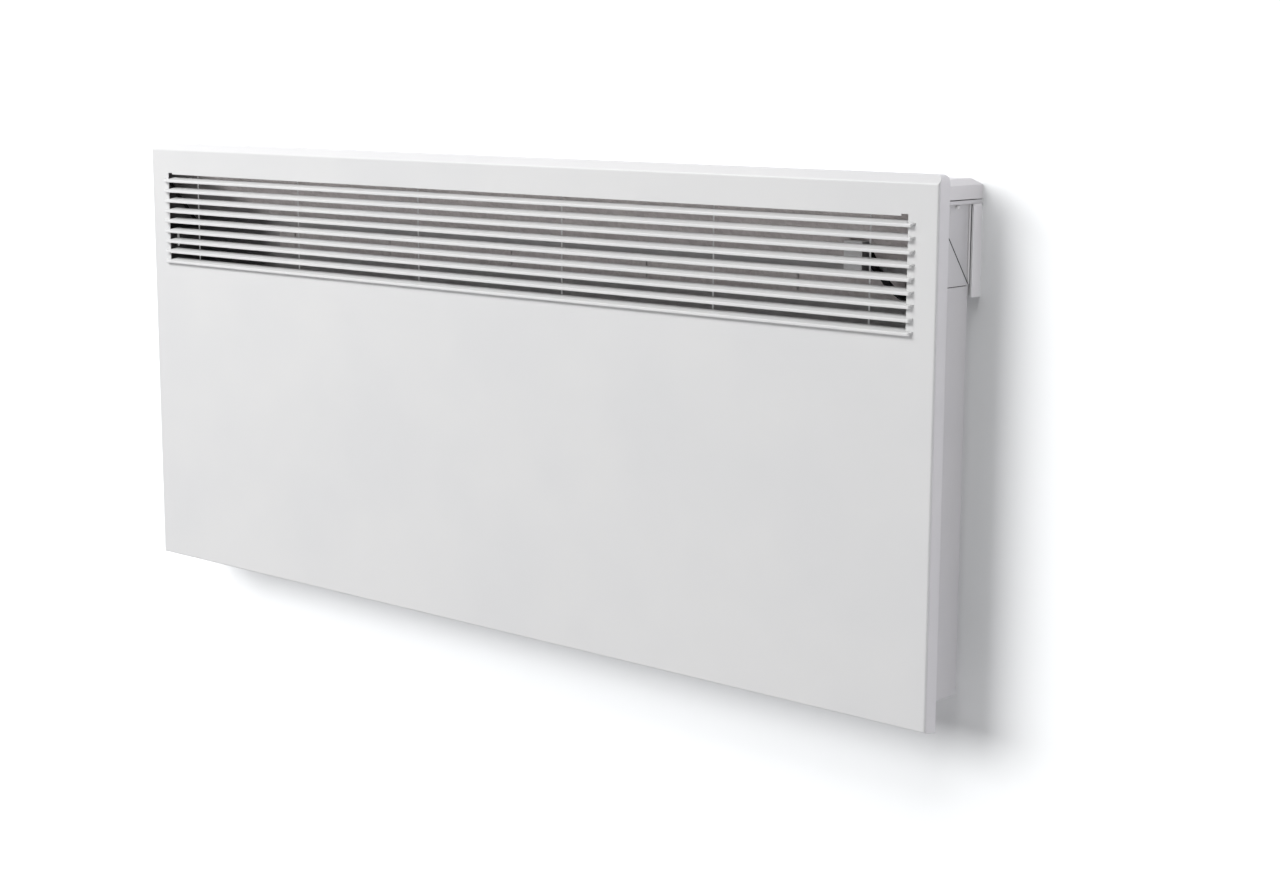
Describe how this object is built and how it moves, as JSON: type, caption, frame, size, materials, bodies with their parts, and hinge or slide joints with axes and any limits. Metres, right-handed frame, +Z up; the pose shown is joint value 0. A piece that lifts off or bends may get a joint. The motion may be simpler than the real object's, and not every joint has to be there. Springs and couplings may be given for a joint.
{
  "type": "wall panel convector heater",
  "caption": "Wide white electric convector heater for a wall: flat front panel with a bladed air outlet near its top, deep rear casing, bevelled top cap with controls, and a hook-on bracket.",
  "frame": {"origin": "middle of the wall bracket's rear face, on the wall", "axes": "+X along the panel's length, to the right seen from the front; +Y into the wall; +Z up"},
  "size_m": [1.003, 0.0732, 0.45],
  "materials": {
    "white_steel": "fine-grained white powder coat",
    "white_plastic": "satin white",
    "bare_steel": "bare sheet",
    "aluminium": "extruded",
    "stainless": "bright drawn",
    "ceramic": "unglazed ceramic look",
    "black_plastic": "satin black",
    "dark_lens": "clear gloss over black",
    "circuit_board": "green laminate",
    "lead_sleeve": "matt black sleeve"
  },
  "bodies": {
    "bracket": {"wall_bracket": "white_steel", "bracket_cheek_left": "white_steel", "bracket_cheek_right": "white_steel", "bracket_hook_left": "white_steel", "bracket_hook_right": "white_steel"},
    "heater": {"front_panel": "white_steel", "grille_blade_1": "white_steel", "grille_blade_2": "white_steel", "grille_blade_3": "white_steel", "grille_blade_4": "white_steel", "grille_blade_5": "white_steel", "grille_blade_6": "white_steel", "grille_blade_7": "white_steel", "grille_blade_8": "white_steel", "grille_blade_9": "white_steel", "grille_tie_rod_1": "white_steel", "grille_tie_rod_2": "white_steel", "grille_tie_rod_3": "white_steel", "grille_tie_rod_4": "white_steel", "grille_tie_rod_5": "white_steel", "grille_tie_rod_6": "white_steel", "rear_casing": "white_steel", "inlet_grille": "white_steel", "side_gusset_left": "white_steel", "side_gusset_right": "white_steel", "upper_casing": "white_steel", "top_tray": "white_steel", "lead_guard": "white_steel", "top_cap": "white_plastic", "control_housing": "white_plastic", "room_sensor": "white_plastic", "wall_spacer_left": "white_plastic", "wall_spacer_right": "white_plastic", "terminal_block": "white_plastic", "air_deflector": "bare_steel", "outlet_baffle": "bare_steel", "element_bracket_left": "bare_steel", "element_bracket_right": "bare_steel", "heat_shield": "bare_steel", "heating_element": "aluminium", "element_core": "stainless", "side_screw_left": "stainless", "side_screw_right": "stainless", "element_bush_left": "ceramic", "element_bush_right": "ceramic", "control_fascia": "black_plastic", "switch_body": "black_plastic", "cable_gland": "black_plastic", "thermal_cutout": "black_plastic", "display_lens": "dark_lens", "display_board": "circuit_board", "power_board": "circuit_board", "radio_module": "circuit_board", "lead_live": "lead_sleeve", "lead_neutral": "lead_sleeve"},
    "button_1_body": {"button_1": "white_plastic"},
    "button_2_body": {"button_2": "white_plastic"},
    "button_3_body": {"button_3": "white_plastic"},
    "button_4_body": {"button_4": "white_plastic"},
    "rocker_body": {"rocker": "black_plastic"}
  },
  "joints": [
    {"name": "heater_lift", "type": "slide", "parent": "bracket", "child": "heater", "axis": [0, 0, 1], "range_m": [0, 0.012]},
    {"name": "button_1_press", "type": "slide", "parent": "heater", "child": "button_1_body", "axis": [0, 0, -1], "range_m": [0, 0.001], "stiffness_N_per_m": 300, "springref_m": -0.002},
    {"name": "button_2_press", "type": "slide", "parent": "heater", "child": "button_2_body", "axis": [0, 0, -1], "range_m": [0, 0.001], "stiffness_N_per_m": 300, "springref_m": -0.002},
    {"name": "button_3_press", "type": "slide", "parent": "heater", "child": "button_3_body", "axis": [0, 0, -1], "range_m": [0, 0.001], "stiffness_N_per_m": 300, "springref_m": -0.002},
    {"name": "button_4_press", "type": "slide", "parent": "heater", "child": "button_4_body", "axis": [0, 0, -1], "range_m": [0, 0.001], "stiffness_N_per_m": 300, "springref_m": -0.002},
    {"name": "rocker_tilt", "type": "hinge", "parent": "heater", "child": "rocker_body", "pos_m": [0.452, -0.029, 0.0556], "axis": [0, 1, 0], "range_deg": [0, 18]}
  ]
}
